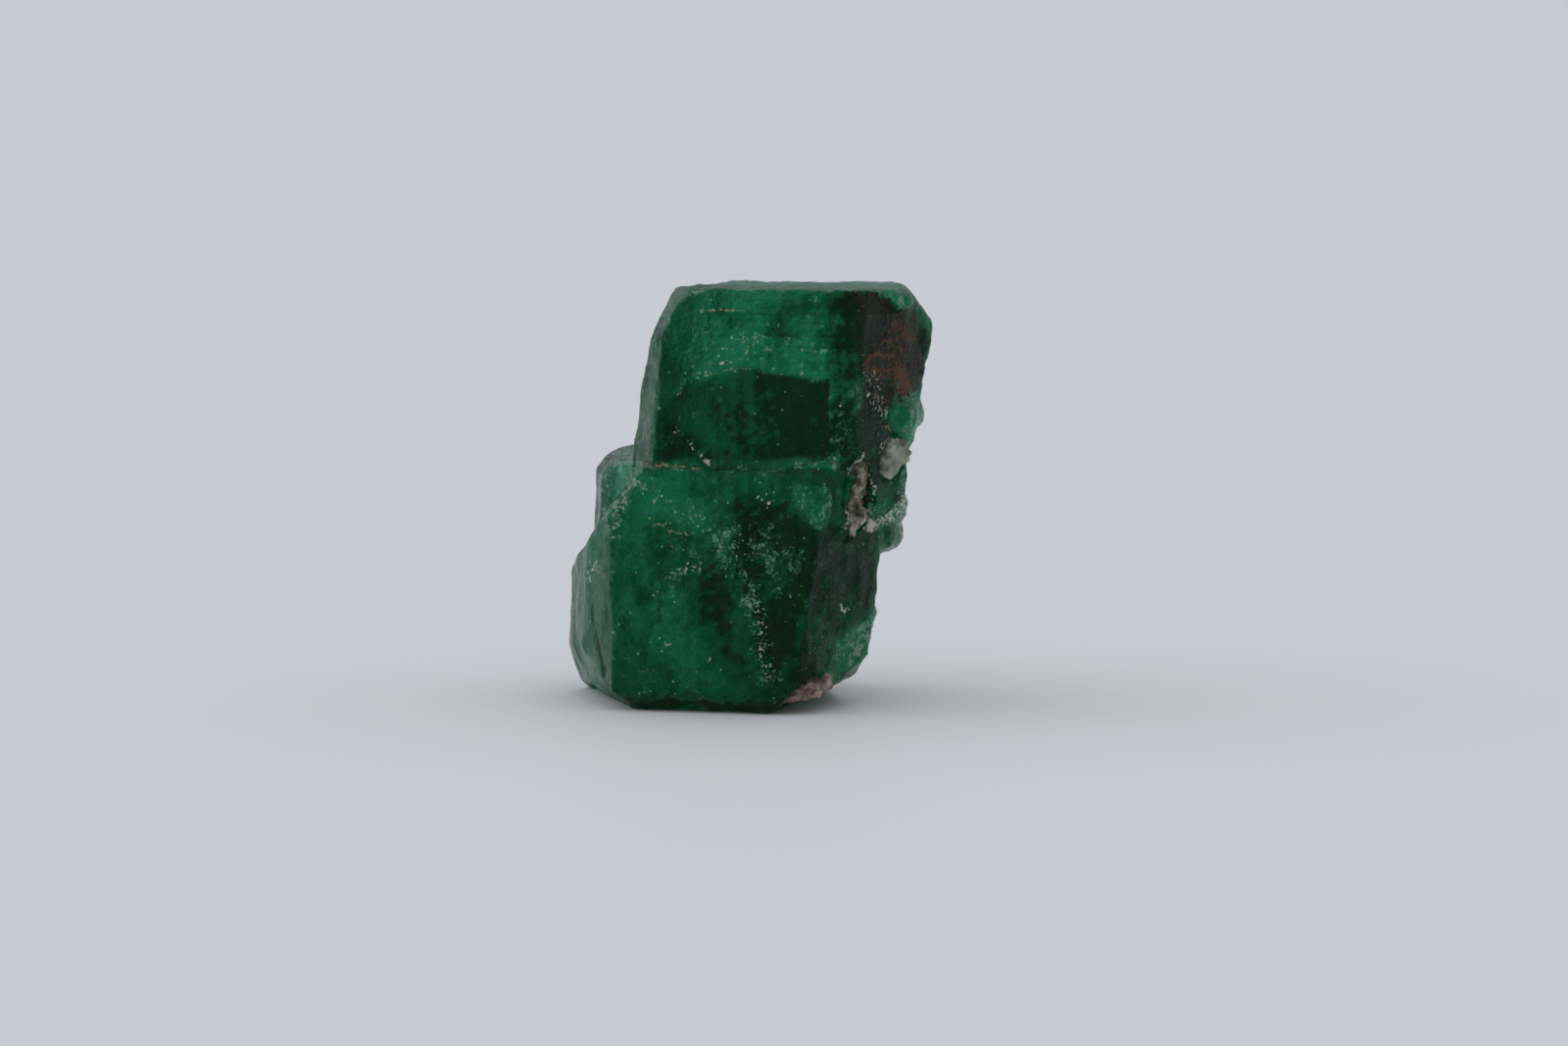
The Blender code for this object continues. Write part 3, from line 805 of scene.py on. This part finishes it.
@dataclass(frozen=True)
class Feldspar:
    """Weathered feldspar, the host rock, broken and left as it is.

    The eye gets a dull crust, chalky white to tan in patches, with rust in its hollows. Lengths are in
    millimetres.
    """

    pale: str
    tan: str
    rust: str
    # Where rust, tan and pale stand on the patches' noise.
    stops: tuple[float, float, float] = (0.35, 0.46, 0.62)
    patch: float = 0.714
    patch_detail: float = 5.0
    patch_roughness: float = 0.65
    grain: float = 0.167
    grain_detail: float = 3.0
    grain_depth: float = 0.06
    grain_strength: float = 0.8
    roughness: float = 0.7

    def material(self) -> bpy.types.Material:
        """Builds the finish.

        Returns:
            The material.
        """
        made = bpy.data.materials.new("weathered feldspar")
        made.use_nodes = True
        tree = made.node_tree
        shader = tree.nodes["Principled BSDF"]
        place = add(tree, "TexCoord").outputs["Object"]
        look = {
            "Vector": place,
            "Scale": cells(self.patch),
            "Detail": self.patch_detail,
            "Roughness": self.patch_roughness,
        }
        ramp = add(tree, "ValToRGB", {"Fac": add(tree, "TexNoise", look).outputs["Fac"]})
        stops = ramp.color_ramp.elements
        first, middle, last = self.stops
        stops[0].position, stops[0].color = first, srgb(self.rust)
        stops[1].position, stops[1].color = last, srgb(self.pale)
        stops.new(middle).color = srgb(self.tan)
        tree.links.new(ramp.outputs["Color"], shader.inputs["Base Color"])
        grain = {"Vector": place, "Scale": cells(self.grain), "Detail": self.grain_detail}
        grain = add(tree, "TexNoise", grain).outputs["Fac"]
        bump = {"Height": grain, "Distance": self.grain_depth * MM, "Strength": self.grain_strength}
        tree.links.new(add(tree, "Bump", bump).outputs["Normal"], shader.inputs["Normal"])
        shader.inputs["Roughness"].default_value = self.roughness
        return made


@dataclass
class CrystalBody:
    """The emerald itself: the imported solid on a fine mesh, with the relief and zones of its faces.

    Lengths are in millimetres.
    """

    node: str = "emerald_crystal"
    spacing: float = 0.125
    finish: EtchedBeryl = field(default_factory=EtchedBeryl)
    # Heights and depths of the relief.
    uneven: float = 0.05
    rib: float = 0.03
    step: float = 0.02
    ripple: float = 0.03
    pit: float = 0.07
    chip: float = 0.16
    # How sharply the skin bends, in cell widths, where an edge or a hollow begins and where it is full.
    edge_bend: tuple[float, float] = (0.035, 0.1)
    hollow_bend: tuple[float, float] = (0.03, 0.09)
    bend_rounds: int = 4
    # How far the outlines of the marks waver across and up.
    waver: tuple[float, float] = (0.09, 0.06)
    # Stretches over which the left side is made paler as painted glow of light through it, the top is banded,
    # and the right side's far faces are stained and also darkened as painted shade.
    backlit_side: tuple[float, float] = (-6.2, -7.6)
    banded_top: tuple[float, float] = (15.6, 16.4)
    stain_and_shade_right: tuple[float, float] = (3.0, 6.0)
    # The rise of the slanted lines for each millimetre across.
    slope: float = 0.8
    # How much each of the window's two marks takes from the mottles.
    window_calm: float = 0.75
    # The most frost that marks which lie over each other make.
    most_frost: float = 0.72

    def bend(self, mesh: bpy.types.Mesh, p: np.ndarray, n: np.ndarray) -> np.ndarray:
        """How sharply the skin bends at each point, above zero on edges and below zero in creases.

        It is the distance from a point to the mean of its neighbours, along the normal, evened out a
        few times over the neighbours and given in cell widths.

        Args:
            mesh: the crystal's mesh.
            p: places in millimetres.
            n: outward directions.

        Returns:
            One value for each point.
        """
        ends = np.empty(len(mesh.edges) * 2, dtype=np.int32)
        mesh.edges.foreach_get("vertices", ends)
        ends = ends.reshape(-1, 2)
        one, two = np.concatenate([ends, ends[:, ::-1]]).T
        count = np.maximum(np.bincount(one, minlength=len(p)), 1)
        sums = [np.bincount(one, weights=axis[two], minlength=len(p)) for axis in p.T]
        mean = np.stack(sums, axis=1) / count[:, None]
        bent = np.einsum("ij,ij->i", p - mean, n) / self.spacing
        for _ in range(self.bend_rounds):
            bent = np.bincount(one, weights=bent[two], minlength=len(p)) / count
        return bent

    def relief(self, p: np.ndarray, n: np.ndarray, worn: np.ndarray, front: dict) -> np.ndarray:
        """How far each point moves out along its normal, in millimetres.

        It is the sum of a broad unevenness, upright ribs and level growth steps on the upright faces,
        ripples on the top, pits in patches, chips along the edges and the lift of each mark.

        Args:
            p: places in millimetres.
            n: outward directions.
            worn: how much of an edge each point is, from 0 to 1.
            front: each mark of the front and its amount at each point.

        Returns:
            One distance for each place.
        """
        side = smoothstep(*UPRIGHT_FACES, np.abs(n[:, 2]))
        top = smoothstep(*TOP_FACES, n[:, 2])
        out = self.uneven * UNEVEN.at(p)
        out -= self.rib * side * np.abs(RIBS.at(p))
        out -= self.step * side * GROWTH_STEPS.at(p)
        out += self.ripple * top * RIPPLES.at(p)
        out -= self.pit * PITS.at(p) * PITTED_PATCHES.at(p)
        out -= self.chip * worn * CHIPS.at(p)
        return out + sum(mark.lift * amount for mark, amount in front.items())

    def masks(self, p: np.ndarray, n: np.ndarray, worn: np.ndarray, hollow: np.ndarray, front: dict) -> dict:
        """The masks of the skin that the recipe mixes.

        Args:
            p: places in millimetres.
            n: outward directions.
            worn: how much of an edge each point is.
            hollow: how much of a crease each point is.
            front: each mark of the front and its amount at each point.

        Returns:
            Each mask's name and its values.
        """
        across, deep, up = p.T
        far = smoothstep(*FAR_FACES, -n[:, 1])
        slanted = np.stack([across + self.slope * up, deep, up - self.slope * across], axis=1)
        stained_hollow = hollow * STAINED_HOLLOWS.at(p)
        # A dark stain on the far faces of the right, also put there as painted shade that darkens the front
        # seen through them.
        stain_and_shade_patch = far * STAIN_AND_SHADE_PATCHES.at(p) * smoothstep(*self.stain_and_shade_right, across)
        rusted = RUST_SPOTS.at(p)
        # Both of the window's marks count, so inside it the mottles turn over and are half as strong.
        window = sum(amount for mark, amount in front.items() if mark.path is WINDOW)
        return {
            "everywhere": np.ones(len(p)),
            "edge": worn,
            "hollow": hollow,
            "top": smoothstep(*TOP_FACES, n[:, 2]),
            # Painted glow: paler towards the left side.
            "backlit side": smoothstep(*self.backlit_side, across),
            "growth bands": GROWTH_BANDS.at(p) * smoothstep(*self.banded_top, up),
            "mottles": (1.0 - self.window_calm * window) * MOTTLES.at(p),
            "slanted lines": SLANTED_LINES.at(slanted) * SLANTED_PATCHES.at(p),
            "columns": COLUMNS.at(p),
            "clouds": far * CLOUDS.at(p),
            "streaks": far * STREAKS.at(p),
            "veils": far * VEILS.at(p),
            "tan spots": far * TAN_SPOTS.at(p),
            "chalk spots": far * CHALK_SPOTS.at(p),
            "stained hollow": stained_hollow,
            "stain and shade patch": stain_and_shade_patch,
            "rusted hollow": stained_hollow * rusted,
            "rusted patch": stain_and_shade_patch * rusted,
        }

    def zones(self, p: np.ndarray, masks: dict, front: dict) -> dict:
        """How much of each zone every point has: its recipe and its marks, held between 0 and 1.

        Marks of frost add up to m (1 - exp(-sum / m)), with m the most frost, and lie in patches.

        Args:
            p: places in millimetres.
            masks: each mask's name and its values.
            front: each mark of the front and its amount at each point.

        Returns:
            The zones and their amounts.
        """
        made = {}
        for zone, weights in RECIPE.items():
            base = sum(weight * masks[name] for name, weight in weights.items())
            marked = sum(mark.strength * amount for mark, amount in front.items() if mark.zone is zone)
            if zone is Zone.FROST:
                marked = FROST_PATCHES.at(p) * self.most_frost * (1.0 - np.exp(-marked / self.most_frost))
            made[zone] = np.clip(base + marked, 0.0, 1.0)
        return made

    def front_marks(self, p: np.ndarray, n: np.ndarray) -> dict:
        """The amount of each mark at every point that faces the front, with outlines that waver a little.

        Args:
            p: places in millimetres.
            n: outward directions.

        Returns:
            Each mark and its amounts.
        """
        x = p[:, 0] + self.waver[0] * WAVER_ACROSS.at(p)
        z = p[:, 2] + self.waver[1] * WAVER_UP.at(p)
        facing = smoothstep(*FRONT_FACES, -n[:, 1])
        return {mark: mark.amount(x, z) * facing for mark in MARKS}

    def build(self) -> bpy.types.Object:
        """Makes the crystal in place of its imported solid, with its resting face left flat.

        Returns:
            The crystal.
        """
        piece = fine_copy(self.node, "emerald", self.spacing)
        mesh = piece.data
        p = read_vectors(mesh.vertices, "co") / MM
        n = read_vectors(mesh.vertex_normals, "vector")
        bent = self.bend(mesh, p, n)
        worn, hollow = smoothstep(*self.edge_bend, bent), smoothstep(*self.hollow_bend, -bent)
        front = self.front_marks(p, n)
        moved = p + n * self.relief(p, n, worn, front)[:, None]
        moved[:, 2] = np.where(p[:, 2] < self.spacing, p[:, 2], moved[:, 2])
        mesh.vertices.foreach_set("co", (moved * MM).ravel())
        mesh.update()
        for zone, amount in self.zones(p, self.masks(p, n, worn, hollow, front), front).items():
            mesh.attributes.new(zone.value, "FLOAT", "POINT").data.foreach_set("value", amount)
        dress(piece, self.node, self.finish)
        return piece


@dataclass
class HostRock:
    """The scraps of host rock in hollows of the crystal, each a crusty lump. Lengths are millimetres."""

    # Each scrap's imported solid, how far its skin is moved out, and its colours.
    scraps: tuple[tuple[str, float, Feldspar], ...] = (
        ("feldspar_notch", -0.02, Feldspar("#b4bba9", "#8f9784", "#5f6a52")),
        ("feldspar_seam", -0.13, Feldspar("#c4bfae", "#655f48", "#2b2a1c")),
        ("feldspar_foot", 0.0, Feldspar("#c9b2aa", "#86756a", "#6e352c")),
    )
    spacing: float = 0.06
    lump: float = 0.4
    crumb: float = 0.09

    def build(self) -> list[bpy.types.Object]:
        """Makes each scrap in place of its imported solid, moved out by its swell, its lumps and its crumbs.

        Returns:
            The scraps.
        """
        made = []
        for node, swell, finish in self.scraps:
            piece = fine_copy(node, f"crusty_{node}", self.spacing)
            mesh = piece.data
            p = read_vectors(mesh.vertices, "co") / MM
            n = read_vectors(mesh.vertex_normals, "vector")
            out = swell + self.lump * LUMPS.at(p) + self.crumb * CRUMBS.at(p)
            mesh.vertices.foreach_set("co", ((p + n * out[:, None]) * MM).ravel())
            mesh.update()
            dress(piece, node, finish)
            made.append(piece)
        return made


@dataclass
class Studio:
    """The pale floor, the soft lights and the camera."""

    # The camera's place and target in millimetres, found from the photograph's horizon and ledges.
    camera_place: tuple[float, float, float] = (1.618, -297.484, 39.369)
    camera_target: tuple[float, float, float] = (1.618, 0.873, 8.01)
    focal_length: float = 148.0
    sensor_width: float = 36.0
    # The nearest and furthest that the camera sees, and half the floor's width, in metres.
    clip: tuple[float, float] = (0.01, 20.0)
    floor_reach: float = 5.0
    floor_colour: str = "#f0f1f2"
    floor_roughness: float = 0.6
    floor_specular: float = 0.1
    world_colour: str = "#f0f3fb"
    # Each side of the tent: its axis, where along it the light begins and is full, and its brightness
    # before and after that. The first is the whole tent, dark towards the camera, then come the left
    # wall and the ceiling.
    sides: tuple[tuple[str, float, float, float, float], ...] = (
        ("Y", -0.75, 0.35, 0.18, 0.47),
        ("X", -0.55, -0.95, 0.0, 0.8),
        ("Z", 0.25, 0.75, 0.0, 0.47),
    )

    def floor(self) -> bpy.types.Object:
        """Lays a wide sheet of matt white card under the object, which throws soft light back up at it.

        Returns:
            The sheet.
        """
        r = self.floor_reach
        corners = np.array([(-r, -r, 0), (r, -r, 0), (r, r, 0), (-r, r, 0)])
        sheet = polished("floor", corners, [(0, 1, 2, 3)])
        card = bpy.data.materials.new("matt card")
        card.use_nodes = True
        shader = card.node_tree.nodes["Principled BSDF"]
        shader.inputs["Base Color"].default_value = srgb(self.floor_colour)
        shader.inputs["Roughness"].default_value = self.floor_roughness
        shader.inputs["Specular IOR Level"].default_value = self.floor_specular
        sheet.data.materials.append(card)
        return sheet

    def world(self) -> None:
        """Puts up a light tent that is open and dark towards the camera.

        Its brightness is the sum over its sides of low + (high - low) s, with s the smoothstep of a
        direction along the side's axis.
        """
        tent = bpy.data.worlds.new("light tent")
        tent.use_nodes = True
        tree = tent.node_tree
        axes = add(tree, "SeparateXYZ", {0: add(tree, "TexCoord").outputs["Generated"]})
        total = 0.0
        for axis, begins, ends, low, high in self.sides:
            span = {"From Min": begins, "From Max": ends, "To Min": low, "To Max": high}
            span["Value"] = axes.outputs[axis]
            side = add(tree, "MapRange", span, interpolation_type="SMOOTHSTEP").outputs[0]
            total = add(tree, "Math", {0: total, 1: side}, operation="ADD").outputs[0]
        background = tree.nodes["Background"]
        background.inputs["Color"].default_value = srgb(self.world_colour)
        tree.links.new(total, background.inputs["Strength"])
        bpy.context.scene.world = tent

    def camera(self) -> bpy.types.Object:
        """Sets the camera where the photograph was taken from.

        Returns:
            The camera.
        """
        data = bpy.data.cameras.new("camera")
        data.lens = self.focal_length
        data.sensor_width = self.sensor_width
        data.clip_start, data.clip_end = self.clip
        camera = bpy.data.objects.new("camera", data)
        camera.location = Vector(self.camera_place) * MM
        aim = (Vector(self.camera_target) - Vector(self.camera_place)) * MM
        camera.rotation_euler = aim.to_track_quat("-Z", "Y").to_euler()
        bpy.context.scene.collection.objects.link(camera)
        bpy.context.scene.camera = camera
        return camera

    def build(self) -> None:
        """Sets up the floor, lights and camera."""
        self.floor()
        self.world()
        self.camera()
        bpy.context.scene.view_settings.view_transform = "Standard"
        log.info("studio ready")


def main() -> None:
    """Builds the specimen and its studio."""
    logging.basicConfig(level=logging.INFO, format="%(name)s %(message)s")
    CrystalBody().build()
    HostRock().build()
    Studio().build()


if __name__ == "__main__":
    main()
